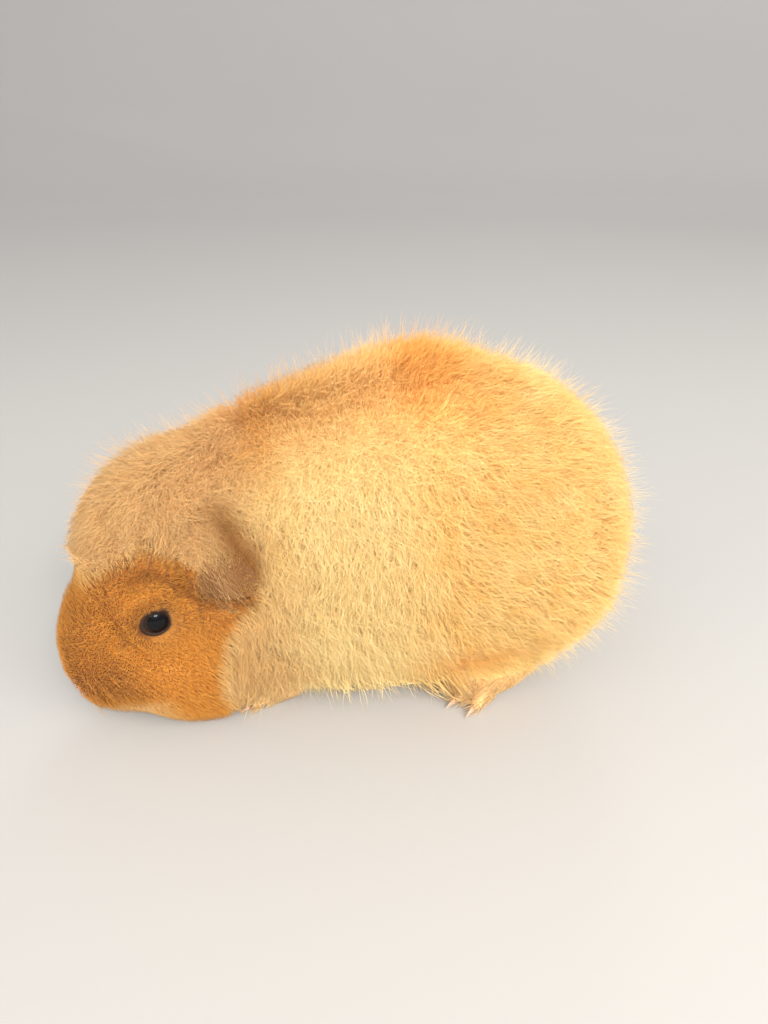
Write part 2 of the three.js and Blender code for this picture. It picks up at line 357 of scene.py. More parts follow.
def addAttribute(mesh, name, values):
    if values.ndim == 1:
        mesh.attributes.new(name, "FLOAT", "POINT").data.foreach_set("value", values.astype(np.float32))
    else:
        full = np.ones((len(values), 4), np.float32)
        full[:, :3] = values
        mesh.attributes.new(name, "FLOAT_COLOR", "POINT").data.foreach_set("color", full.ravel())


def treeOf(piece):
    bm = bmesh.new()
    bm.from_mesh(piece.data)
    tree = BVHTree.FromBMesh(bm)
    bm.free()
    return tree


def ease(low, high, values):
    share = np.clip((values - low) / (high - low), 0, 1)
    return share * share * (3 - 2 * share)


def fade(low, high, values):
    return 1 - ease(low, high, values)


def hump(*parts):
    # 1 where all the values are 0, falling away as each grows past its spread
    return np.exp(-sum((values / spread) ** 2 for values, spread in parts))


def waver(places, scale):
    # smooth noise from -1 to 1, about half of it within 0.4
    return np.array([noise.noise(place * scale) for place in map(Vector, places.tolist())])


def unit(vectors):
    return vectors / np.maximum(np.linalg.norm(vectors, axis=-1, keepdims=True), 1e-12)


def moved(matrix, places):
    m = np.array(matrix)
    return places @ m[:3, :3].T + m[:3, 3]


def middle(node):
    low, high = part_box(node)
    return (low + high) / 2


# The head's own frame has its origin between the eyes, x forwards, y to the animal's left and z up.
noseDrop = 23.8  # how far below the head's own x axis the nose lies, in degrees


def headFrame():
    between = (middle("eye_left") + middle("eye_right")) / 2
    left = (middle("eye_left") - middle("eye_right")).normalized()
    ahead = middle("nose") - between
    ahead = (ahead - left * ahead.dot(left)).normalized()
    drop = math.radians(noseDrop)
    forwards = ahead * math.cos(drop) + ahead.cross(left) * math.sin(drop)
    up = forwards.cross(left)
    return Matrix.Translation(between) @ Matrix((forwards, left, up)).transposed().to_4x4()


headPlace = headFrame()
headInverse = headPlace.inverted()
rowPlace = Matrix.Identity(4)


def inHead(places):
    # in the head's frame, in millimetres
    return moved(headInverse, places) / mm


def fromHead(head):
    return moved(headPlace, head * mm)


eyeOut = (headInverse @ middle("eye_left")).y
eyeRadius = (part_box("eye_left")[1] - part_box("eye_left")[0]).x / 2
noseAt = headInverse @ middle("nose")
noseTip = np.array(noseAt) / mm
print("head frame found, eyes", round(eyeOut / mm, 2), "out, radius", round(eyeRadius / mm, 2))


skinShape = {
    "voxel": 1.0, "soften": 60,
    # frame, middle, radii and pitch in millimetres and degrees; "both" blocks are mirrored
    "blocks": [
        ("row", (27, 0, 58), (50, 39, 50), 0),  # barrel
        ("row", (59, 0, 53), (28, 37, 43), 0),  # rump
        ("row", (-6, 0, 52), (36, 34, 44), 0),  # shoulders
        ("row", (-28, -2, 49), (27, 27, 33), 12),  # neck
        ("both row", (50, 22, 24), (20, 12, 20), 12),  # thighs
        ("both row", (46, 24, 8), (13, 6, 5), 0),  # hocks
        ("both row", (-22, 16, 22), (11, 9, 19), -10),  # forearms
        ("both row", (-27, 14, 7), (9, 6, 6), 0),  # wrists
        ("head", (-8.2, 0, -0.4), (24.5, 22.5, 20), 0),  # skull
        ("head", (-24, 0, -6), (20, 21, 22), 0),  # back of the skull
        ("head", (11.3, 0, 0.6), (22.5, 13.5, 13.5), 28),  # bridge of the nose
        ("head", (17.8, 0, -15.9), (18.2, 13, 12), 0),  # muzzle
        ("head", (26, 0, -9), (9.5, 9.5, 8.5), 0),  # snout, above the nose
        ("both head", (27, 5.5, -17), (8, 6, 7), 0),  # whisker pads
        ("both head", (12, 9, -18), (15, 10, 14), 0),  # between muzzle and cheek
        ("head", (15.3, 0, -23.9), (16.5, 10, 7.5), 0),  # chin
        ("both head", (-0.2, 12, -23.4), (20, 13, 21), 0),  # cheeks
    ],
    "noseRadii": (2.4, 4.4, 3.0), "noseSunk": 1.6, "noseSoft": 0.35, "roundNose": (5, 11), "footFirm": 0.85,
}
softSteps = 20  # of the smoothing's strength
footNodes = [f"{limb}_{side}" for limb in ("forefoot", "hindfoot") for side in sides]
clawNodes = [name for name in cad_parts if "_claw_" in name]


def skinBlocks():
    bm = bmesh.new()
    for where, (x, y, z), radii, pitch in skinShape["blocks"]:
        place = headPlace if "head" in where else rowPlace
        for side in ((1, -1) if "both" in where else (1,)):
            matrix = place @ Matrix.Translation(Vector((x, side * y, z)) * mm)
            matrix = matrix @ Matrix.Rotation(math.radians(pitch), 4, "Y")
            matrix = matrix @ Matrix.Diagonal([radius * mm for radius in radii] + [1])
            bmesh.ops.create_icosphere(bm, subdivisions=4, radius=1, matrix=matrix)
    noseMatrix = headPlace @ Matrix.Translation(noseAt - Vector((skinShape["noseSunk"] * mm, 0, 0)))
    noseMatrix = noseMatrix @ Matrix.Diagonal([radius * mm for radius in skinShape["noseRadii"]] + [1])
    bmesh.ops.create_icosphere(bm, subdivisions=3, radius=1, matrix=noseMatrix)
    for node in footNodes:
        bm.from_mesh(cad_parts[node].data)
    bmesh.ops.remove_doubles(bm, verts=bm.verts, dist=1e-6)
    return pieceFrom("skin", bm, "skin")


def footGap(places):
    # how far places are from the nearest foot, in millimetres
    gaps = []
    for node in footNodes:
        low, high = (np.array(corner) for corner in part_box(node))
        gaps.append(np.linalg.norm(np.maximum(np.maximum(low - places, places - high), 0), axis=1) / mm)
    return np.min(gaps, axis=0)


def nearFeet(places):
    return fade(0.5, 4, footGap(places))


earShape = {
    "root": (-16.5, 21, 17), "tip": (-31, 41.5, 1), "width": 20, "thickness": 1.1, "thickRoot": 1.6,
    "cup": 4.0, "cupAlong": 0.6, "ripple": 0.7, "ripples": 3.5, "sunk": 5, "taper": 0.22, "narrowRoot": 0.25,
    # how far it stands off the head, and how far to its sides, past its tip and from its root that holds
    "stand": 3.2, "standWide": (9, 14), "standPast": 5, "standFrom": (2, 9), "standMost": 20,
}


def earFrame(side):
    root, tip = (Vector((x, side * y, z)) * mm for x, y, z in (earShape["root"], earShape["tip"]))
    along = (tip - root).normalized()
    across = Vector((0, side, 0)).cross(along).normalized()
    out = along.cross(across)
    return root, tip, Matrix((across, out, along)).transposed().to_4x4()


# Places in an ear's own frame, and how far out its middle surface lies there.
def onEar(head, side):
    root, tip, turn = earFrame(side)
    local = (head - np.array(root + tip) / 2 / mm) @ np.array(turn.to_3x3())
    half, width = (tip - root).length / 2 / mm, earShape["width"] / 2
    bend = (local[:, 0] / width) ** 2 + earShape["cupAlong"] * (local[:, 2] / half) ** 2 - 0.5
    surface = -earShape["cup"] * bend
    return local, half, surface


# Keeps the skin of the head clear under the ears.
def clearUnderEars(skin):
    head = inHead(pointsOf(skin.data))
    for side in sides.values():
        local, half, surface = onEar(head, side)
        across, out, along = local.T
        under = fade(*earShape["standWide"], np.abs(across)) * fade(half, half + earShape["standPast"], along)
        start, full = earShape["standFrom"]
        under *= ease(start - half, full - half, along)
        excess = np.clip(out - surface + earShape["stand"], 0, earShape["standMost"]) * under
        head -= excess[:, None] * np.array(earFrame(side)[2].to_3x3())[:, 1]
    setPoints(skin.data, fromHead(head))


# A drooping petal, broadest above its middle, cupped and rippled, with its root sunk in the head.
def earLeaf(name, side):
    root, tip, turn = earFrame(side)
    half = (tip - root).length / 2
    width, cup = earShape["width"] / 2 * mm, earShape["cup"] * mm
    bm = bmesh.new()
    bmesh.ops.create_uvsphere(bm, u_segments=48, v_segments=32, radius=1)
    for vert in bm.verts:
        x, y, z = vert.co
        rootward = max(-z, 0)
        across = x * width * (1 - earShape["taper"] * z) * (1 - earShape["narrowRoot"] * rootward ** 3)
        along = z * half - (0.5 - z / 2) * earShape["sunk"] * mm
        bend = cup * ((across / width) ** 2 + earShape["cupAlong"] * z * z - 0.5)
        wave = earShape["ripple"] * mm * math.sin(earShape["ripples"] * math.atan2(x, z)) * (x * x + z * z)
        thick = earShape["thickness"] / 2 * mm * (1 + earShape["thickRoot"] * rootward ** 2)
        vert.co = (across, y * thick - bend + wave, along)
    bmesh.ops.transform(bm, matrix=headPlace @ Matrix.Translation((root + tip) / 2) @ turn, verts=bm.verts)
    bmesh.ops.recalc_face_normals(bm, faces=bm.faces)
    return pieceFrom(name, bm, "skin")


def softened(skin):
    places = pointsOf(skin.data)
    feet = nearFeet(places)
    head = moved(headInverse, places)
    nose = np.linalg.norm((head - np.array(noseAt)) / mm, axis=1)
    soft = skinShape["noseSoft"]
    weights = (1 - skinShape["footFirm"] * feet) * (soft + (1 - soft) * ease(*skinShape["roundNose"], nose))
    group = skin.vertex_groups.new(name="soft")
    for step in range(1, softSteps + 1):
        chosen = np.nonzero(np.round(weights * softSteps) == step)[0]
        group.add(chosen.tolist(), step / softSteps, "REPLACE")
    soften = skin.modifiers.new("soften", "SMOOTH")
    soften.factor, soften.iterations, soften.vertex_group = 0.5, skinShape["soften"], "soft"
    settled(skin)
    skin.vertex_groups.clear()


outlineVoxel = 1.2


# One closed shell round all the solids, as a tree to measure depths from.
def outlineTree():
    bm = bmesh.new()
    for name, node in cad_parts.items():
        if name not in clawNodes:
            bm.from_mesh(node.data)
    bmesh.ops.remove_doubles(bm, verts=bm.verts, dist=1e-6)
    shell = pieceFrom("shell", bm, "skin")
    wrap = shell.modifiers.new("wrap", "REMESH")
    wrap.mode, wrap.voxel_size = "VOXEL", outlineVoxel * mm
    tree = treeOf(settled(shell))
    bpy.data.objects.remove(shell)
    return tree


outline = outlineTree()


def depthsOf(places):
    # how deep each place lies under the outline in millimetres, and which way is out
    depths, outwards = np.empty(len(places)), np.empty((len(places), 3))
    for i, place in enumerate(map(Vector, places.tolist())):
        at, normal, _, distance = outline.find_nearest(place)
        depths[i] = distance / mm if (at - place).dot(normal) > 0 else -distance / mm
        outwards[i] = normal
    return depths, outwards


# Evens out a value over a mesh, each vertex taking half of its neighbours' mean each round.
def evened(mesh, values, rounds):
    edges = np.empty(len(mesh.edges) * 2, int)
    mesh.edges.foreach_get("vertices", edges)
    one, other = edges.reshape(-1, 2).T
    count = np.maximum(np.bincount(edges, minlength=len(values)), 1)
    for _ in range(rounds):
        sums = np.bincount(one, values[other], len(values)) + np.bincount(other, values[one], len(values))
        values = 0.5 * values + 0.5 * sums / count
    return values


# Where the short hair of the face ends: at the back by height, and at the crown by distance ahead.
faceEdge = {
    "rear": ((-34, -2), (-24, -6.5), (-14, -14), (-9, -19.5), (-4, -29)),
    "crown": ((-30, 4), (-20, 8), (-15.5, 15), (-11, 20), (-4, 20), (10, 18), (21, 15), (32, 7)),
    "brow": ((-30, -2.2), (-24, -2.5), (-15, -0.5), (-12.5, 3), (-9.7, 15), (-5, 17.5), (4, 16), (12, 14.5)),
}
skinFit = {
    # how deep the coat is, how far the skin may sink or rise to that, and how it is evened out
    "body": 10.0, "crown": 8.0, "face": 2.3, "most": 16.0, "press": 8.0, "rounds": (32, 12),
    "roundEye": (9, 16),
    # where the depth changes behind the face, above it and away from the feet, and where the crown is
    "behindFace": (-9, 6), "aboveFace": (-7, 5), "offFeet": (-1, 14),
    "crownAlong": (-40, -28), "crownUp": (-2, 8),
    # hollows before the eyes, and between forelock and nose: each one's place, spread and depth
    "beforeEye": ((10.0, 21.0, 0.0), 6.5, 2.6), "brow": ((18, 14.5), (6, 4), 3.0),
    "ease": 6,  # last rounds of smoothing
}


def edgeAt(name, values):
    across, edge = np.array(faceEdge[name]).T
    return np.interp(values, across, edge)


# 1 where the short fur of the face grows, in the head frame in millimetres.
def faceShare(head):
    x, y, z = head.T
    rear, crown = edgeAt("rear", z), edgeAt("crown", x)
    return ease(rear - 3, rear + 2, x) * fade(crown, crown + 5, z)


# How deep the coat is meant to be: short on the face and feet, deep on the body, and between on the crown.
def coatDepth(places):
    x, y, z = inHead(places).T
    rear, crown = edgeAt("rear", z), edgeAt("crown", x)
    behind = fade(*(rear + step for step in skinFit["behindFace"]), x)
    above = ease(*(crown + step for step in skinFit["aboveFace"]), z)
    beyond = np.maximum(behind, above) * ease(*skinFit["offFeet"], footGap(places))
    onCrown = fade(*skinFit["crownAlong"], places[:, 0] / mm) * ease(*skinFit["crownUp"], z)
    far = skinFit["body"] + (skinFit["crown"] - skinFit["body"]) * onCrown
    (ahead, up), (long, high), hollow = skinFit["brow"]
    brow = hollow * hump((x - ahead, long), (z - up, high))
    return skinFit["face"] + (far - skinFit["face"]) * beyond + brow * (1 - beyond)


# Brings the skin to its coat's depth under the outline, twice, as the first round only comes near.
def fitSkin(skin):
    near, far = skinFit["roundEye"]
    for rounds in skinFit["rounds"]:
        places, normals = pointsOf(skin.data), normalsOf(skin.data)
        head = inHead(places)
        depth, outward = depthsOf(places)
        free = ease(0, 0.5, (normals * outward).sum(1)) * (1 - nearFeet(places))
        lift = np.clip(depth - coatDepth(places), -skinFit["press"], skinFit["most"]) * free
        face = faceShare(head)
        for side in sides.values():
            # the sockets count as filled in
            reach = np.linalg.norm(head - (0, side * eyeOut / mm, 0), axis=1)
            ring = (reach > far) & (reach < far + 3) & (face > 0.9)
            share = ease(near, far, reach)
            lift = lift * share + lift[ring].mean() * (1 - share)
        lift = evened(skin.data, lift, rounds)
        setPoints(skin.data, places + normals * (lift * mm)[:, None])
    # the cheeks narrow in front of the eyes, which look out past them
    places, normals = pointsOf(skin.data), normalsOf(skin.data)
    head = inHead(places)
    place, spread, deep = skinFit["beforeEye"]
    head[:, 1] = np.abs(head[:, 1])
    reach = np.linalg.norm(head - place, axis=1)
    setPoints(skin.data, places - normals * (deep * mm * hump((reach, spread)))[:, None])
    clearUnderEars(skin)
    soften = skin.modifiers.new("soften", "SMOOTH")
    soften.factor, soften.iterations = 0.5, skinFit["ease"]
    settled(skin)


def makeSkin():
    skin = skinBlocks()
    wrap = skin.modifiers.new("wrap", "REMESH")
    wrap.mode, wrap.voxel_size = "VOXEL", skinShape["voxel"] * mm
    settled(skin)
    softened(skin)
    fitSkin(skin)
    for name, side in sides.items():
        leaf = earLeaf("leaf_" + name, side)
        union = skin.modifiers.new("union", "BOOLEAN")
        union.operation, union.object, union.solver = "UNION", leaf, "MANIFOLD"
        settled(skin)
        bpy.data.objects.remove(leaf)
    return skin


skin = makeSkin()
print("skin wrapped:", len(skin.data.polygons), "faces")


eyeShape = {"slant": 32, "cornea": 0.35, "corneaFrom": 0.72, "segments": 64}
lidShape = {
    # the slit's half length and height, how far back it lies, and how pointed its corners are
    "long": 6.0, "short": 5.7, "back": 1.3, "point": 1.6,
    # how far the skin goes under the eyeball in the slit, and stands over it on the rim and beyond
    "under": 0.75, "rim": 0.7, "over": 0.4, "crease": (0.25, 1.4, 0.08), "area": 14, "behind": -2.5,
    # shares of the way out from the slit's middle; the last pair is painted shade on the skin round the eye:
    # its strength and where it ends
    "edge": (0.95, 1.03), "reach": (1.1, 2.0), "dark": (1.18, 1.32), "hairless": 1.1, "paintedShade": (0.4, 2.0),
    "judged": (1, 5),  # how far past the rim a place is judged by where it will be pushed to
}


# The eye's own axes in the head frame: along the slit towards the nose, across it, and outwards.
def eyeAxes(side):
    slant = math.radians(eyeShape["slant"])
    along = Vector((math.cos(slant), 0, -math.sin(slant)))
    across = Vector((math.sin(slant), 0, math.cos(slant)))
    return Vector((0, side * eyeOut, 0)), along, across, Vector((0, side, 0))


def addEye(name, side):
    at, along, across, out = eyeAxes(side)
    bm = bmesh.new()
    segments = eyeShape["segments"]
    bmesh.ops.create_uvsphere(bm, u_segments=segments, v_segments=segments // 2, radius=1)
    start = eyeShape["corneaFrom"]
    for vert in bm.verts:
        bulge = max(vert.co.z - start, 0) / (1 - start)
        vert.co *= eyeRadius + eyeShape["cornea"] * mm * bulge * (2 - bulge)
    turn = Matrix((along, across, out)).transposed().to_4x4()
    bmesh.ops.transform(bm, matrix=headPlace @ Matrix.Translation(at) @ turn, verts=bm.verts)
    bmesh.ops.recalc_face_normals(bm, faces=bm.faces)
    piece = pieceFrom("eyeball_" + name, bm, "eye")
    local = (moved(headInverse, pointsOf(piece.data)) - np.array(at)) @ np.array(out)
    ring = np.sqrt(np.maximum(1 - (local / eyeRadius) ** 2, 0))
    addAttribute(piece.data, "ring", ring * (local > 0) + (local <= 0))
    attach(piece, "root")
    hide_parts("eye_" + name)
    return piece


# How far out of the slit between the lids a place lies, 1 at its edge, and how far from the eye's middle.
def slitShare(head, side):
    at, along, across, out = (np.array(axis) for axis in eyeAxes(side))
    away = (head - at) / mm
    reach = np.linalg.norm(away, axis=1)
    slit = away + (lidShape["back"], 0, 0)
    # close to the eyeball, a place is judged where it will be pushed to
    rim = eyeRadius / mm + lidShape["rim"] / 2
    spread = rim / np.maximum(reach, 1e-6)
    start, end = lidShape["judged"]
    spread = spread + (1 - spread) * ease(rim + start, rim + end, reach)
    power = lidShape["point"]
    long = np.abs(slit @ along) * spread / lidShape["long"]
    short = np.abs(slit @ across) * spread / lidShape["short"]
    return (long ** power + short ** power) ** (1 / power), away @ out, reach


def subdividedNear(skin, centre, reach, cuts):
    bm = bmesh.new()
    bm.from_mesh(skin.data)
    edges = [edge for edge in bm.edges if all((vert.co - centre).length < reach * mm for vert in edge.verts)]
    bmesh.ops.subdivide_edges(bm, edges=edges, cuts=cuts, use_grid_fill=True, smooth=0.0)
    bm.to_mesh(skin.data)
    bm.free()


def shapeLids(skin):
    places = pointsOf(skin.data)
    head = moved(headInverse, places)
    lid = np.zeros(len(head))
    radius = eyeRadius / mm
    deep, creaseAt, creaseWide = lidShape["crease"]
    over, edge, most = radius + lidShape["over"], lidShape["edge"][1], lidShape["reach"][1]
    paintedShade, paintedShadeEnd = lidShape["paintedShade"]
    for side in sides.values():
        share, out, reach = slitShare(head, side)
        area = (out > lidShape["behind"]) & (reach < lidShape["area"])
        rim = radius + lidShape["rim"] - deep * hump((share - creaseAt, creaseWide))
        wanted = radius - lidShape["under"]
        wanted = wanted + (rim - wanted) * ease(*lidShape["edge"], share)
        wanted = wanted + (reach - wanted) * ease(*lidShape["reach"], share)
        wanted = np.where(share > edge, np.maximum(wanted, over), wanted)
        near = area & (share < most) | (share > edge) & (reach < over)
        centre = np.array(eyeAxes(side)[0])
        head[near] = centre + (head[near] - centre) * (wanted / np.maximum(reach, 1e-6))[near, None]
        # painted shade: the skin round the dark rim takes the lid's colour, fading outwards
        paintedShadeShare = paintedShade * fade(lidShape["dark"][1], paintedShadeEnd, share)
        lid = np.maximum(lid, area * np.maximum(fade(*lidShape["dark"], share), paintedShadeShare))
    setPoints(skin.data, moved(headPlace, head))
    return lid


mouthShape = {
    # the mouth's front end ahead and up, the rise of its middle and how far that spreads, and its corners
    "lip": (35.8, -23.4), "slope": 5, "bow": (0.9, 2.2), "corner": (15, 20), "depth": 1.3, "width": 0.9,
    # height over the nose's middle, distance from the middle line, turn and bend
    "nostril": (0.2, 2.3, 35, 0.18), "nostrilSize": (1.5, 0.65), "nostrilDepth": 1.6,
    "cleft": 0.55, "cleftWide": 0.5, "cleftLong": 7,
}


def shapeMouth(skin):
    head = inHead(pointsOf(skin.data))
    normals = normalsOf(skin.data) @ np.array(headPlace.to_3x3())
    x, y, z = head.T
    push = np.zeros(len(head))
    slope = math.tan(math.radians(mouthShape["slope"]))
    (front, level), (rise, spread) = mouthShape["lip"], mouthShape["bow"]
    line = level - (front - x) * slope + rise * hump((y, spread))
    ahead = ease(*mouthShape["corner"], x) * (np.abs(normals[:, 2]) < 0.97)
    push += mouthShape["depth"] * ahead * hump((z - line, mouthShape["width"]))
    up, out, turn, bend = mouthShape["nostril"]
    long, wide = mouthShape["nostrilSize"]
    cos, sin = math.cos(math.radians(turn)), math.sin(math.radians(turn))
    for side in sides.values():
        dy, dz = side * y - out, z - noseTip[2] - up
        a, b = dy * cos + dz * sin, dz * cos - dy * sin
        # flatter inside than a hump
        pit = np.exp(-((a / long) ** 2 + ((b - bend * a * a) / wide) ** 2) ** 1.3)
        push += mouthShape["nostrilDepth"] * pit * (x > noseTip[0])
    under = ease(line, line + 1.0, z) * fade(noseTip[2] - 1.5, noseTip[2], z)
    under *= x > noseTip[0] - mouthShape["cleftLong"]
    push += mouthShape["cleft"] * hump((y, mouthShape["cleftWide"])) * under
    head -= normals * push[:, None]
    setPoints(skin.data, fromHead(head))


fineSkin = {"eye": (10.5, 2), "nose": (11, 1)}  # how far round each in millimetres, and how many cuts

for name, side in sides.items():
    addEye(name, side)
    subdividedNear(skin, headPlace @ Vector((0, side * eyeOut, 0)), *fineSkin["eye"])
subdividedNear(skin, headPlace @ (noseAt + Vector((-2, 0, -2)) * mm), *fineSkin["nose"])
lid = shapeLids(skin)
shapeMouth(skin)
print("face shaped:", len(skin.data.polygons), "faces")


bareShape = {
    "noseBack": (3.7, 2.2), "noseHigh": 3.1, "noseWide": 3.6, "noseDown": 0.4, "noseEdge": (0.75, 1.05),
    "toeReach": (2.0, 4.0), "earSkin": (1.0, 1.6), "earWide": 12, "earPast": 2, "earFrom": (-0.35, -0.1),
}


def earShare(head):
    # 1 on the two ears, in the head frame in millimetres, and the way each place's hair lies on them
    share, lie = np.zeros(len(head)), np.zeros((len(head), 3))
    for side in sides.values():
        local, half, surface = onEar(head, side)
        across, out, along = local.T
        on = fade(*bareShape["earSkin"], np.abs(out - surface)) * (np.abs(across) < bareShape["earWide"])
        start, full = bareShape["earFrom"]
        on = on * (along < half + bareShape["earPast"]) * ease(start * half, full * half, along)
        share = np.maximum(share, on)
        lie[on > 0] = np.array(earFrame(side)[2].to_3x3())[:, 2]
    return share, lie


def toeShare(places):
    share = np.zeros(len(places))
    for name in clawNodes:
        reach = np.linalg.norm(places - np.array(middle(name)), axis=1) / mm
        share = np.maximum(share, fade(*bareShape["toeReach"], reach))
    return share


def noseShare(head):
    x, y, z = head.T
    up = z - noseTip[2] + bareShape["noseDown"]
    away = np.sqrt((y / bareShape["noseWide"]) ** 2 + (up / bareShape["noseHigh"]) ** 2)
    behind, ahead = bareShape["noseBack"]
    return fade(*bareShape["noseEdge"], away) * ease(noseTip[0] - behind, noseTip[0] - ahead, x)


# Where each marking, painted highlight and painted shade lies. A pair is where it starts and is full, or is
# full and ends, in millimetres.
# x and z are in the head frame, along and height in the row frame.
markingAndLightShape = {
    "waver": (2.5, 70.0, 3.2),  # of the edges: how far, its scale, and how much more it is along the row
    "chin": {"z": (-27, -23.5), "x": (8, 20), "ginger": 0.15},
    "ginger": {"overCrown": (-1, 6)},
    "crown": {"along": (-42, -20), "z": (-4, 6), "share": 0.9},
    "ruff": {"along": (-30, -6), "height": (40, 75), "share": 0.62},
    "ear": {"cream": 0.85, "dark": 0.65, "lock": 0.6, "lockAt": -23.5, "lockWide": 2.2},
    # painted highlight: pale gold on the shoulder and the flank's front, as sunlight lays it, less of it high
    # on the back
    "pale": {"middle": -4, "away": (8, 32), "height": (80, 100), "share": 0.8, "above": 0.5},
    # middles and spreads along x, out from the middle line, and up; the parting is painted shade in the gap
    # where the hair parts, and behindEar a painted shadow under the ear
    "parting": {"at": (-33, 37, 16), "spread": (4, 9, 13), "share": 0.95, "waver": 0.4},
    "behindEar": {"at": (-34, 42, 6), "spread": (3.5, 5, 4), "share": 0.8},
    # painted shadow under the forelock along the brow, running back under the ear
    "brow": {"spread": 4.5, "x": (-34, -28), "ends": (-3, 9), "wide": (12, 18), "share": 0.95},
    # painted shade on the face's front, and on its upper half under the crown
    "front": {"x": (8, 22), "share": 0.5},
    "upper": {"z": (-14, -2), "x": (6, 14), "share": 0.3},
    "straw": {"height": (8, 14)},
    # the height of the back along the row, which the orange saddle follows
    "spine": ((-60, 95), (-30, 110), (0, 119), (30, 124), (60, 114), (90, 90)),
    "saddle": {"below": (5, 28), "along": (-55, -40), "ends": (22, 60), "share": 0.85},
    # painted shade: darker and more orange on the shaded crest behind the crown
    "withers": {"along": (-42, -28), "ends": (-22, 10), "share": 0.15, "dark": 0.32},
    # orange above the hind foot: partly the coat's colour, partly painted shade under the haunch
    "haunch": {"at": (38, 26), "spread": (17, 8), "share": 0.7},
}


# The coat's markings and painted light at some places: ginger, cream and pale gold, which is a painted
# highlight, then dark ginger, mostly painted shade, straw and orange.
def markingsAndLightOf(places, ear):
    shape = markingAndLightShape
    head, row = inHead(places), places / mm
    x, y, z = head.T
    wide, height = np.abs(y), row[:, 2]
    face = faceShare(head)
    far, scale, more = shape["waver"]
    blur = far * waver(places, scale)
    along = row[:, 0] + more * blur
    part = shape["chin"]
    chin = fade(*part["z"], z) * ease(*part["x"], x)
    ginger = face * (1 - (1 - part["ginger"]) * chin) * (1 - ear)
    ginger *= fade(*shape["ginger"]["overCrown"], z - edgeAt("crown", x) + blur)

    part = shape["crown"]
    crown = (1 - face) * fade(*part["along"], along) * ease(*part["z"], z)
    cream = np.maximum(part["share"] * crown, part["share"] * face * (1 - ginger) * (z > 0))
    part = shape["ruff"]
    ruff = (1 - face) * fade(*part["along"], along) * fade(*part["height"], height)
    cream = np.maximum(cream, part["share"] * ruff)
    cream = np.maximum(cream, np.maximum(chin * face, shape["ear"]["cream"] * ear))
    # painted highlight of sunlight on the shoulder and the flank's front
    part = shape["pale"]
    pale = part["share"] * fade(*part["away"], np.abs(along - part["middle"]))
    pale *= 1 - part["above"] * ease(*part["height"], height)

    # painted shade in the gap where the hair parts
    part = shape["parting"]
    (ahead, out, up), (long, broad, high) = part["at"], part["spread"]
    parting = (x - ahead + part["waver"] * blur) / long
    parting = np.exp(-(parting ** 2 + ((wide - out) / broad) ** 4 + ((z - up) / high) ** 4))  # flat inside
    dark = part["share"] * parting
    # painted shadow under the ear
    part = shape["behindEar"]
    ahead, out, up = part["at"]
    dark += part["share"] * hump(*zip((x - ahead, wide - out, z - up), part["spread"]))
    # painted shadow along the brow under the forelock
    part = shape["brow"]
    brow = hump((z - edgeAt("brow", x), part["spread"])) * ease(*part["x"], x) * fade(*part["ends"], x)
    brow *= part["share"] * ease(*part["wide"], wide)
    # painted shade on the face's front and its upper half
    front = shape["front"]["share"] * ease(*shape["front"]["x"], x) * (1 - chin)
    part = shape["upper"]
    upper = part["share"] * ease(*part["z"], z) * fade(*part["x"], x)
    dark += face * (1 - ear) * np.maximum(brow, front + upper)
    part = shape["ear"]
    lock = hump((x - part["lockAt"], part["lockWide"]))  # pale hair hangs across the middle of the ear
    dark = np.clip(dark + ear * (part["dark"] - part["lock"] * lock), 0, 1)

    straw = nearFeet(places) * fade(*shape["straw"]["height"], height)
    part = shape["saddle"]
    below = np.interp(row[:, 0], *np.array(shape["spine"]).T) - height
    saddle = fade(*part["below"], below + blur) * ease(*part["along"], along) * fade(*part["ends"], along)
    share = part["share"]
    # painted shade on the crest behind the crown
    part = shape["withers"]
    withers = ease(*part["along"], along) * fade(*part["ends"], along)
    dark = np.maximum(dark, part["dark"] * saddle * withers)
    orange = (share + part["share"] * withers) * saddle
    # partly painted shade under the haunch
    part = shape["haunch"]
    haunch = hump(*zip((along - part["at"][0], height - part["at"][1]), part["spread"]))
    orange = np.maximum(orange, part["share"] * haunch)
    return np.stack((ginger, cream, pale), 1), np.stack((dark, straw, orange), 1)


def dressSkin(skin, lid):
    places = pointsOf(skin.data)
    head = inHead(places)
    ear = earShare(head)[0]
    bare = np.stack((ear, noseShare(head), toeShare(places)), 1)
    markings, patches = markingsAndLightOf(places, ear)
    for name, values in (("lid", lid), ("bare", bare), ("markings", markings), ("patches", patches)):
        addAttribute(skin.data, name, values)
    bpy.context.view_layer.objects.active = skin
    skin.select_set(True)
    skin.data.uv_layers.new(name="OFBake")
    bpy.ops.object.mode_set(mode="EDIT")
    bpy.ops.mesh.select_all(action="SELECT")
    bpy.ops.uv.smart_project(angle_limit=1.15, island_margin=0.004)
    bpy.ops.object.mode_set(mode="OBJECT")
    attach(skin, "root")
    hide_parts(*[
        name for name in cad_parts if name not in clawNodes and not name.startswith("eye")])
    return bare


bare = dressSkin(skin, lid)
print("skin dressed")


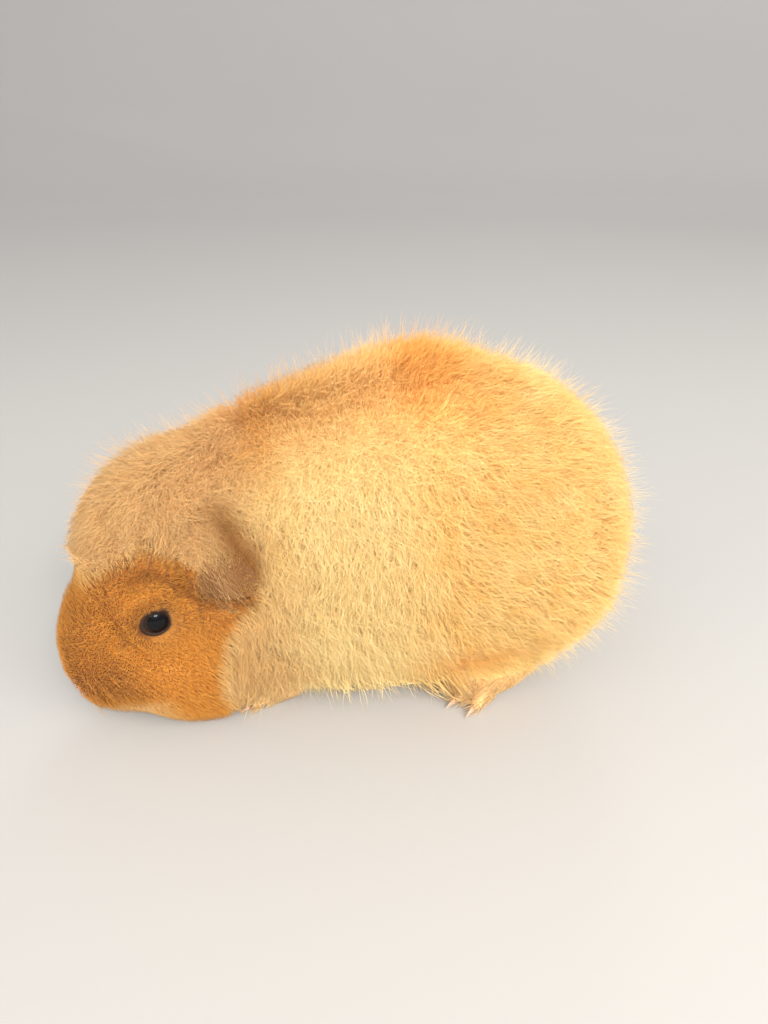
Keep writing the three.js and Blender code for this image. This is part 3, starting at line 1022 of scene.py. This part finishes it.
# radius, frizz and reach in millimetres, where reach has a part that grows with the coat's depth
coatShape = {
    "body": {"radius": 0.068, "frizz": 0.3, "reach": (2.0, 0.95), "clump": 0.07, "perSquare": 2.46},
    "crown": {"radius": 0.065, "frizz": 0.28, "reach": (2.5, 1.1), "clump": 0.1, "perSquare": 3.5},
    "belly": {"radius": 0.2, "frizz": 0.5, "reach": (2.0, 1.4), "clump": 0.3, "perSquare": 0.6},
    "face": {"radius": 0.1, "frizz": 0.13, "reach": (3.4, 0.0), "clump": 0.1, "perSquare": 3.3},
    "feet": {"radius": 0.11, "frizz": 0.15, "reach": (3.6, 0.0), "clump": 0.15, "perSquare": 2.7},
    "ears": {"radius": 0.06, "frizz": 0.2, "reach": (3.4, 0.0), "clump": 0.0, "perSquare": 1.2},
}
coatNap = {
    "long": (3, 7),  # depths from which hair starts and is fully long, in millimetres
    "thin": 1.5, "faceDeep": 2.7, "full": 24, "evened": 8,  # least and most depth, and rounds of evening
    "bald": (0.5, 0.8), "soleFacing": -0.6, "soleHigh": 2.5,
    # how far under the outline the tips end, and never more, as shares of the depth
    "inset": 0.28, "deepest": 0.45,
    "wool": 0.25, "woolInset": (0.35, 0.6),  # the share of tufts that fill the coat, and how deep they end
    "clear": 0.4, "bury": 0.5,  # millimetres over the skin at the tip, and under it at the root
    # the share of strays, how far they stand out, and where they are shorter over the forelock
    "stray": 0.1, "strayOut": (0.5, 8.0), "strayCrown": 0.85, "strayAbove": (4, 20), "strayReach": 0.6,
    "strayThin": 0.6, "strayFrizz": 1.8, "strayLong": 0.2,
    "hem": (6, 28), "hemOut": 4.0, "forelock": (9, 3.5), "wave": 1.8,
    "waves": ((0.7, 0.3, 55.0), (1.0, 0.5, 125.0)), "waveDown": 0.4,  # share, shift and scale of its noise
    # turns about the root in radians, by noise of two scales, by lock and by tuft
    "sway": ((0.8, 55.0), (0.5, 160.0)), "lockTurn": 0.12, "tuftTurn": 0.5, "shortTurn": 0.25,
    "perLock": 12, "lockPull": (0.2, 1.6), "mostPull": 0.8, "lockWide": 9,
    # along the back the hair stands steeper, and over the forelock it is shorter
    "steep": (0.55, 0.98), "steepFrom": (-60, -40), "steepLess": 0.45,
    "crownLess": 0.6, "crownAbove": (2, 14),
    "reach": (0.6, 1.25), "bulge": (0.6, 1.0), "bulgeAhead": 0.2, "push": (-20, 4), "colourAt": 0.6,
    "browAbove": (-9, -5), "browUnder": 0.3,  # the face's hair keeps under the outline along the forelock
    "offEye": (5, 0.75),  # tries at shortening the hair that hangs over an eye, and by how much each time
    "shade": (0.5, 0.2, 0.12), "radius": (0.75, 1.2), "tickShade": (-1.7, -0.6),
}
whiskers = {
    # the rows of roots in the head frame, and each whisker's length, thickness and heading
    "across": (20, 31, 5), "up": (-17, -7, 3), "long": (13, 22), "radius": 0.11,
    "heading": (-0.75, 0.9, -0.15), "lift": 0.5, "scatter": 0.18, "jitter": 0.6, "bow": 0.3, "beyond": 4,
}
# where one coat piece ends and the next begins, by row x in millimetres
coatBands = {"neck": -22, "shoulder": 14, "side": 46, "rump": 400}
tuftForm = {
    "short": (0.0, 0.5, 1.0), "long": (0.0, 0.42, 0.74, 1.0),  # places of the rings
    "along": (0, 0.3, 0.75, 1), "thick": (0.85, 1.0, 0.7, 0.0),
    "offFloor": (0.35, 0.5), "patch": 0.003,  # its size on the OFBake map
}


# A closed three-sided spike with rings: the angle and share of the way along of its points, its triangles,
# and each triangle's place on the spike's own small patch of map.
def tuftShape(rings):
    bm = bmesh.new()
    bmesh.ops.create_cone(bm, cap_ends=True, segments=3, radius1=1, radius2=0, depth=1)
    bmesh.ops.remove_doubles(bm, verts=bm.verts, dist=1e-6)
    bmesh.ops.translate(bm, verts=bm.verts, vec=(0, 0, 0.5))
    for ring in rings[1:-1]:
        everything = bm.verts[:] + bm.edges[:] + bm.faces[:]
        bmesh.ops.bisect_plane(bm, geom=everything, plane_co=(0, 0, ring), plane_no=(0, 0, 1))
    bmesh.ops.triangulate(bm, faces=bm.faces)
    bmesh.ops.recalc_face_normals(bm, faces=bm.faces)
    bm.verts.ensure_lookup_table()
    angles = np.array([math.atan2(vert.co.y, vert.co.x) for vert in bm.verts])
    along = np.array([vert.co.z for vert in bm.verts])
    triangles = np.array([[vert.index for vert in face.verts] for face in bm.faces])
    patch = np.empty((len(triangles), 3, 2))
    for i, face in enumerate(bm.faces):
        mid = face.calc_center_median()
        facing = math.atan2(mid.y, mid.x)
        for j, vert in enumerate(face.verts):
            if abs(face.normal.z) > 0.99:  # the foot of the spike gets the patch's lowest strip
                patch[i, j] = 0.5 + 0.3 * vert.co.x, 0.05 + 0.05 * vert.co.y
            else:
                turn = (math.atan2(vert.co.y, vert.co.x) - facing + math.pi) % math.tau - math.pi
                turn = 0 if vert.co.z > 0.999 else turn
                patch[i, j] = (facing + turn) / math.tau + 0.5, 0.1 + 0.9 * vert.co.z
    bm.free()
    return angles, along, triangles, patch


tuftShapes = {name: tuftShape(tuftForm[name]) for name in ("short", "long")}


def turnedBy(vectors, axes, angles):
    # vectors square to their axes, turned about them
    return vectors * np.cos(angles)[:, None] + np.cross(axes, vectors) * np.sin(angles)[:, None]


coatRegions = {
    "feet": (10, 14), "crownAlong": (-36, -30), "crownUp": (-6, 6),
    "bellyFacing": (0.4, 0.7), "bellyUp": (18, 28),
}
# Directions of the hair: in the head frame on face and crown, in the row frame elsewhere.
coatLie = {
    "cheek": {"down": 1.3, "x": (-18, 4), "z": (-12, 0)},
    "roundEye": {"out": 0.9, "share": (1.2, 2.1), "beyond": 8},
    "crown": {"outer": (6, 24), "back": (0.35, 0.9), "x": (-2, 26), "down": (0.3, 0.75), "middle": 8},
    "ruff": {"along": (-30, -15), "height": (45, 65), "less": 0.5},
    "back": (0.35, 0.7, (-20, 60)), "down": (0.95, 0.6, (-10, 65)), "out": (0.35, 12),
    "feet": (-0.9, 0.3, -0.3),
}


# How much of each region a place of the skin belongs to, and the way its hair lies.
def layOf(places, normals):
    head, row = inHead(places), places / mm
    x, y, z = head.T
    turn = np.array(headPlace.to_3x3())
    feet = nearFeet(places) * fade(*coatRegions["feet"], row[:, 2])
    ear, earLie = earShare(head)
    face = faceShare(head)
    crown = (1 - face) * fade(*coatRegions["crownAlong"], row[:, 0]) * ease(*coatRegions["crownUp"], z)
    belly = (1 - face - crown) * ease(*coatRegions["bellyFacing"], -normals[:, 2])
    belly *= fade(*coatRegions["bellyUp"], row[:, 2])
    body = np.clip(1 - face - crown - belly, 0, 1)
    shares = np.stack((body, crown, belly, face), 1) * ((1 - feet) * (1 - ear))[:, None]
    shares = np.column_stack((shares, feet * (1 - ear), ear))

    faceLie = unit(head - noseTip)
    part = coatLie["cheek"]
    faceLie[:, 2] -= part["down"] * fade(*part["x"], x) * fade(*part["z"], z)
    part = coatLie["roundEye"]
    for side in sides.values():
        # the hair parts round the eye
        away = unit(head - (0, side * eyeOut / mm, 0))
        near = fade(*part["share"], slitShare(head * mm, side)[0]) * (side * y > part["beyond"])
        faceLie += away * (part["out"] * near)[:, None]
    part = coatLie["crown"]
    outer, hand = ease(*part["outer"], np.abs(y)), np.tanh(y / part["middle"])
    (least, more), (level, fall) = part["back"], part["down"]
    ahead = 1 - outer * (least + more * ease(*part["x"], -x))
    crownLie = np.stack((ahead, outer * hand, -level - fall * outer), 1)
    part = coatLie["ruff"]
    ruff = fade(*part["along"], row[:, 0]) * fade(*part["height"], row[:, 2])
    (start, gain, span), (steep, loss, fallSpan) = coatLie["back"], coatLie["down"]
    back = start + gain * ease(*span, row[:, 0]) - part["less"] * ruff
    down = steep - loss * ease(*fallSpan, row[:, 0])
    out, middleWide = coatLie["out"]
    bodyLie = np.stack((back, out * np.tanh(row[:, 1] / middleWide), -down), 1)
    footLie = np.tile(coatLie["feet"], (len(row), 1))
    footLie[:, 1] *= np.sign(row[:, 1])
    lies = (bodyLie, crownLie @ turn.T, bodyLie, faceLie @ turn.T, footLie, earLie @ turn.T)
    lie = sum(unit(way) * share[:, None] for way, share in zip(lies, shares.T))
    # along the skin, or hanging clear of it where the skin turns under
    return shares, unit(lie - normals * np.minimum((lie * normals).sum(1), 0.0)[:, None])


def settingOf(shares, name, part=None):
    values = [shape[name] if part is None else shape[name][part] for shape in coatShape.values()]
    return shares @ np.array(values)


# Roots spread evenly over the skin, with the skin's normal, coat depth and place on the map at each.
def plantRoots(skin, depth, bald):
    mesh = skin.data
    mesh.calc_loop_triangles()
    count = len(mesh.loop_triangles)
    corners, loops, areas = np.empty(count * 3, int), np.empty(count * 3, int), np.empty(count)
    mesh.loop_triangles.foreach_get("vertices", corners)
    mesh.loop_triangles.foreach_get("loops", loops)
    mesh.loop_triangles.foreach_get("area", areas)
    corners, loops = corners.reshape(-1, 3), loops.reshape(-1, 3)
    places, normals = pointsOf(mesh), normalsOf(mesh)
    perSquare = settingOf(layOf(places, normals)[0], "perSquare") * (1 - bald)
    expected = areas / mm ** 2 * perSquare[corners].mean(1)
    steps = np.floor(np.cumsum(expected) + 0.5).astype(int)
    picks = np.repeat(np.arange(count), np.diff(steps, prepend=0))
    first, second = rng.random((2, len(picks)))
    flip = first + second > 1
    first[flip], second[flip] = 1 - first[flip], 1 - second[flip]
    weights = np.stack((1 - first - second, first, second), 1)[:, :, None]
    uvs = np.empty(len(mesh.loops) * 2)
    mesh.uv_layers["OFBake"].data.foreach_get("uv", uvs)

    def at(values, index):
        return (values[index[picks]] * weights).sum(1)

    roots, up = at(places, corners), unit(at(normals, corners))
    return roots, up, at(depth[:, None], corners)[:, 0], at(uvs.reshape(-1, 2), loops)


# Locks: some roots lead, and each other root follows the nearest of them.
def locksOf(roots):
    count = len(roots) // coatNap["perLock"]
    leaders = rng.permutation(len(roots))[:count]
    tree = KDTree(count)
    for i, root in enumerate(roots[leaders].tolist()):
        tree.insert(root, i)
    tree.balance()
    return leaders, np.array([tree.find(root)[1] for root in roots.tolist()])


def clearOfEyes(tips):
    # which tips hang over no eye
    head = moved(headInverse, tips)
    over = np.zeros(len(tips), bool)
    for side in sides.values():
        share, out, _ = slitShare(head, side)
        over |= (share < lidShape["hairless"]) & (out > -2)
    return ~over


def clearOfSkin(tree, tips):
    # the tips, with those that end under the skin lifted out of it
    lifts = np.zeros(tips.shape)
    for i, tip in enumerate(map(Vector, tips.tolist())):
        at, normal, _, _ = tree.find_nearest(tip)
        lifts[i] = normal * max(coatNap["clear"] * mm - (tip - at).dot(normal), 0)
    return tips + lifts


tickShape = {
    "share": (0.1, 0.3), "pad": (28, -17), "padSize": (7, 6), "z": (-18, -8), "x": (-2, 8), "brow": 7,
}


# Where hairs are dark-tipped: most on the whisker pads, fewer on the muzzle, forehead and brow.
def tickShare(roots):
    x, y, z = inHead(roots).T
    pad = hump(*zip((x - tickShape["pad"][0], z - tickShape["pad"][1]), tickShape["padSize"]))
    few, many = tickShape["share"]
    upper = ease(*tickShape["z"], z) * ease(*tickShape["x"], x)
    upper += hump((z - edgeAt("brow", x), tickShape["brow"]))
    return np.clip(few * upper + many * pad, 0, many)


# The coat's depth at each vertex of the skin, and where no hair grows.
def coatDepths(skin, bare, lid):
    places, normals = pointsOf(skin.data), normalsOf(skin.data)
    head = inHead(places)
    thin, full = coatNap["thin"], coatNap["full"]
    fixed = np.maximum(nearFeet(places) * fade(*coatRegions["feet"], places[:, 2] / mm), earShare(head)[0])
    most = full + (coatNap["faceDeep"] - full) * faceShare(head)
    depth = np.clip(depthsOf(places)[0], thin, most) * (1 - fixed) + thin * fixed
    soles = (normals[:, 2] < coatNap["soleFacing"]) & (places[:, 2] < coatNap["soleHigh"] * mm)
    bald = np.clip(ease(*coatNap["bald"], lid) + bare[:, 1] + bare[:, 2] + soles, 0, 1)
    return evened(skin.data, depth, coatNap["evened"]), bald


# How far under the outline each tip ends: a little, and deeper on the wool. Strays end past it.
def insetsOf(roots, shares, depth, long, above, stray, wool):
    count, crown = len(roots), shares[:, 1]
    wave = sum(part * waver(roots + shift, scale) for part, shift, scale in coatNap["waves"])
    wave = coatNap["wave"] * wave * long
    hem = fade(*coatNap["hem"], roots[:, 2] / mm) * shares[:, [0, 2]].sum(1) * (1 - nearFeet(roots))
    inset = depth * coatNap["inset"] * rng.random(count) ** 2 + wave + coatNap["waveDown"] * coatNap["wave"]
    high, shorter = coatNap["forelock"]
    inset += shorter * fade(0, high, above) * crown  # the forelock thins out towards its edge
    inset = np.minimum(inset, coatNap["deepest"] * depth)
    inset = np.where(wool, depth * rng.uniform(*coatNap["woolInset"], count), inset)
    inset = inset * (1 - hem) - coatNap["hemOut"] * hem * rng.random(count) ** 2
    near, far = coatNap["strayOut"]
    out = near + (far - near) * rng.random(count) ** 2
    out *= 1 - coatNap["strayCrown"] * crown * fade(*coatNap["strayAbove"], above)
    return np.where(stray, -out, inset)


def growCoat(skin, bare, lid):
    roots, up, depth, uvs = plantRoots(skin, *coatDepths(skin, bare, lid))
    shares, lie = layOf(roots, up)
    kinds = np.array(list(coatShape))[shares.argmax(1)]
    count = len(roots)
    print("roots planted:", {kind: int((kinds == kind).sum()) for kind in coatShape})

    leaders, lock = locksOf(roots)
    long = ease(*coatNap["long"], depth)
    turn = sum(part * waver(roots, scale) for part, scale in coatNap["sway"])
    turn += rng.normal(0, coatNap["lockTurn"], len(leaders))[lock]
    turn *= coatNap["shortTurn"] + (1 - coatNap["shortTurn"]) * long
    turn += rng.normal(0, coatNap["tuftTurn"], count) * (0.5 + long)
    lie = turnedBy(lie, up, turn)

    headRoots = inHead(roots)
    above = headRoots[:, 2] - edgeAt("crown", headRoots[:, 0])
    pick = rng.random(count)
    stray = (pick < coatNap["stray"]) & (long > coatNap["strayLong"])
    wool = (pick > 1 - coatNap["wool"]) & (long > coatNap["strayLong"])
    inset = insetsOf(roots, shares, depth, long, above, stray, wool)
    fixed = (shares[:, 4:].sum(1) > 0.5) | (kinds == "face")
    steep = ease(*coatNap["steep"], up[:, 2]) * shares[:, :2].sum(1)
    steep *= ease(*coatNap["steepFrom"], roots[:, 0] / mm)
    reach = settingOf(shares, "reach", 0) + settingOf(shares, "reach", 1) * depth
    reach *= rng.uniform(*coatNap["reach"], count) * (1 - coatNap["steepLess"] * steep)
    reach *= 1 - coatNap["crownLess"] * shares[:, 1] * fade(*coatNap["crownAbove"], above)
    reach = np.where(stray, reach * coatNap["strayReach"], reach)
    tips = roots + (up * depth[:, None] + lie * reach[:, None]) * mm
    pull = settingOf(shares, "clump") * rng.uniform(*coatNap["lockPull"], count)
    pull = np.clip(pull, 0, coatNap["mostPull"]) * ~stray
    lockTips = tips[leaders][lock]
    near = np.linalg.norm(lockTips - tips, axis=1) < coatNap["lockWide"] * mm
    tips = tips + (lockTips - tips) * (pull * near)[:, None]
    for _ in range(2):
        deep, outward = depthsOf(tips)
        shift = np.where(fixed, 0, np.clip(deep - inset, *coatNap["push"]))
        tips = tips + outward * (shift * mm)[:, None]
    deep, outward = depthsOf(tips)
    over = np.minimum(deep + coatNap["browUnder"], 0) * ease(*coatNap["browAbove"], above) * (kinds == "face")
    tips = clearOfSkin(treeOf(skin), tips + outward * (over * mm)[:, None])
    bulge = rng.uniform(*coatNap["bulge"], count)
    middles = roots + (up * (depth * bulge)[:, None] + lie * (reach * coatNap["bulgeAhead"])[:, None]) * mm
    tries, shorter = coatNap["offEye"]
    for _ in range(tries):
        shrink = np.where(clearOfEyes(tips), 1, shorter)[:, None]
        tips, middles = roots + (tips - roots) * shrink, roots + (middles - roots) * shrink

    markings, patches = markingsAndLightOf(roots + coatNap["colourAt"] * (tips - roots), shares[:, 5])
    mean, byTuft, byLock = coatNap["shade"]
    shade = mean + byTuft * rng.normal(size=count) + byLock * rng.normal(size=len(leaders))[lock]
    shade = np.clip(shade, 0, 1)
    ticked = rng.random(count) < tickShare(roots) * (kinds == "face")
    shade = np.where(ticked, rng.uniform(*coatNap["tickShade"], count), shade)
    radius = settingOf(shares, "radius") * rng.uniform(*coatNap["radius"], count)
    radius *= np.where(stray, coatNap["strayThin"], 1) * mm
    frizz = settingOf(shares, "frizz") * np.where(stray, coatNap["strayFrizz"], 1) * mm
    feet = roots - up * coatNap["bury"] * mm
    short = ~stray & ((kinds != "belly") | wool)
    names = coatNames(roots, kinds)
    for under, chosen in (("coat_wool", wool), ("coat_stray", stray)):
        names = np.where(chosen, np.where(roots[:, 1] < 0, under + "_left", under + "_right"), names)
    for name in sorted(set(names)):
        for rings, chosen in (("short", (names == name) & short), ("long", (names == name) & ~short)):
            if chosen.any():
                addTufts(name, rings, *(values[chosen] for values in (
                    feet, middles, tips, radius, frizz, uvs, shade, markings, patches)))
    addWhiskers(roots, up, uvs)


# Whiskers stand in rows on the muzzle, each on the planted root nearest to its place there.
def addWhiskers(roots, up, uvs):
    head = inHead(roots)
    chosen = []
    for side in sides.values():
        for x in np.linspace(*whiskers["across"]):
            for z in np.linspace(*whiskers["up"]):
                away = (head - (x, 0, z))[:, [0, 2]] + rng.normal(0, whiskers["jitter"], 2)
                onSide = head[:, 1] * side > whiskers["beyond"]
                chosen.append(np.where(onSide, np.linalg.norm(away, axis=1), np.inf).argmin())
    hand = np.sign(head[chosen, 1])
    count = len(chosen)
    ahead, out, rise = whiskers["heading"]
    heading = np.stack((np.full(count, ahead), hand * out, np.full(count, rise)), 1)
    heading = unit(heading + rng.normal(0, whiskers["scatter"], (count, 3)))
    heading = unit(heading @ np.array(headPlace.to_3x3()).T + whiskers["lift"] * up[chosen])
    long = rng.uniform(*whiskers["long"], (count, 1)) * mm
    roots, up = roots[chosen], up[chosen]
    middles = roots + (heading + whiskers["bow"] * up) * long / 2
    even = np.full(count, 1.0)
    addTufts("whiskers", "long", roots - up * coatNap["bury"] * mm, middles, roots + heading * long,
             even * whiskers["radius"] * mm, even * 0, uvs[chosen], even, *markingsAndLightOf(roots, even * 0))


# The coat piece that each tuft belongs to.
def coatNames(roots, kinds):
    hand = np.where(roots[:, 1] < 0, "_left", "_right")
    band = np.array(list(coatBands))[np.searchsorted(list(coatBands.values()), roots[:, 0] / mm)]
    names = np.char.add(np.char.add("coat_", band), hand)
    for kind in ("crown", "belly", "feet"):
        names = np.where(kinds == kind, "coat_" + kind, names)
    hand = np.where(moved(headInverse, roots)[:, 1] < 0, "_right", "_left")
    return np.where(np.isin(kinds, ("face", "ears")), np.char.add("coat_face", hand), names)


def addTufts(name, rings, roots, middles, tips, radius, frizz, uvs, shade, markings, patches):
    angles, along, triangles, patch = tuftShapes[rings]
    stops = np.array(tuftForm[rings])
    count, corners = len(roots), len(angles)
    line = np.empty((count, len(stops), 3))
    heading = unit(tips - roots)
    for k, t in enumerate(stops):
        kink = rng.normal(size=(count, 3))
        kink -= heading * (kink * heading).sum(1)[:, None]
        line[:, k] = (1 - t) ** 2 * roots + 2 * t * (1 - t) * middles + t * t * tips
        line[:, k] += kink * (frizz * t ** 0.5)[:, None]
    least, more = tuftForm["offFloor"]
    line[:, 1:, 2] = np.maximum(line[:, 1:, 2], (least + more * rng.random((count, 1))) * mm)
    tangents = unit(np.gradient(line, axis=1))
    side = unit(np.cross(tangents, rng.normal(size=(count, 1, 3))))
    rise = np.cross(tangents, side)
    ring = np.abs(along[:, None] - stops).argmin(1)
    profile = np.interp(along, tuftForm["along"], tuftForm["thick"]) * (along < 0.999)
    across = np.cos(angles)[None, :, None] * side[:, ring] + np.sin(angles)[None, :, None] * rise[:, ring]
    places = line[:, ring] + across * (radius[:, None] * profile[None])[:, :, None]

    faces = (triangles[None] + (np.arange(count) * corners)[:, None, None]).reshape(-1, 3)
    mesh = bpy.data.meshes.new(name)
    mesh.vertices.add(count * corners)
    mesh.loops.add(faces.size)
    mesh.polygons.add(len(faces))
    mesh.vertices.foreach_set("co", places.astype(np.float32).ravel())
    mesh.loops.foreach_set("vertex_index", faces.astype(np.int32).ravel())
    mesh.polygons.foreach_set("loop_start", np.arange(0, faces.size, 3, dtype=np.int32))
    mesh.polygons.foreach_set("use_smooth", np.ones(len(faces), bool))
    mesh.update(calc_edges=True)
    spots = uvs[:, None, None] + (patch[None] - 0.5) * tuftForm["patch"]
    mesh.uv_layers.new(name="OFBake").data.foreach_set("uv", spots.astype(np.float32).ravel())
    addAttribute(mesh, "along", np.tile(along, count))
    addAttribute(mesh, "shade", np.repeat(shade, corners))
    addAttribute(mesh, "markings", np.repeat(markings, corners, axis=0))
    addAttribute(mesh, "patches", np.repeat(patches, corners, axis=0))
    mesh.materials.append(finishes["coat"])
    piece = bpy.data.objects.new(name, mesh)
    scene.collection.objects.link(piece)
    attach(piece, "root")
    print(name, "has", count, "tufts,", len(faces), "triangles")


growCoat(skin, bare, lid)


def addFloor():
    bm = bmesh.new()
    radius, bend = room["radius"], room["bend"]
    profile = [(0, 0)]
    for turn in np.radians(np.linspace(0, 90, 11)):
        profile.append((radius - bend + bend * math.sin(turn), bend - bend * math.cos(turn)))
    verts = [bm.verts.new((x, 0, z)) for x, z in profile + [(radius, room["height"])]]
    edges = [bm.edges.new(pair) for pair in zip(verts, verts[1:])]
    bmesh.ops.spin(
        bm, geom=verts + edges, cent=(0, 0, 0), axis=(0, 0, 1), angle=math.tau, steps=96, use_merge=True)
    bmesh.ops.remove_doubles(bm, verts=bm.verts, dist=1e-5)
    floor = pieceFrom("floor", bm, "floor")
    floor.visible_shadow = False  # so that the wall keeps no light out


addFloor()

for name in clawNodes:
    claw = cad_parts[name]
    claw.data.materials.clear()
    claw.data.materials.append(finishes["claw"])
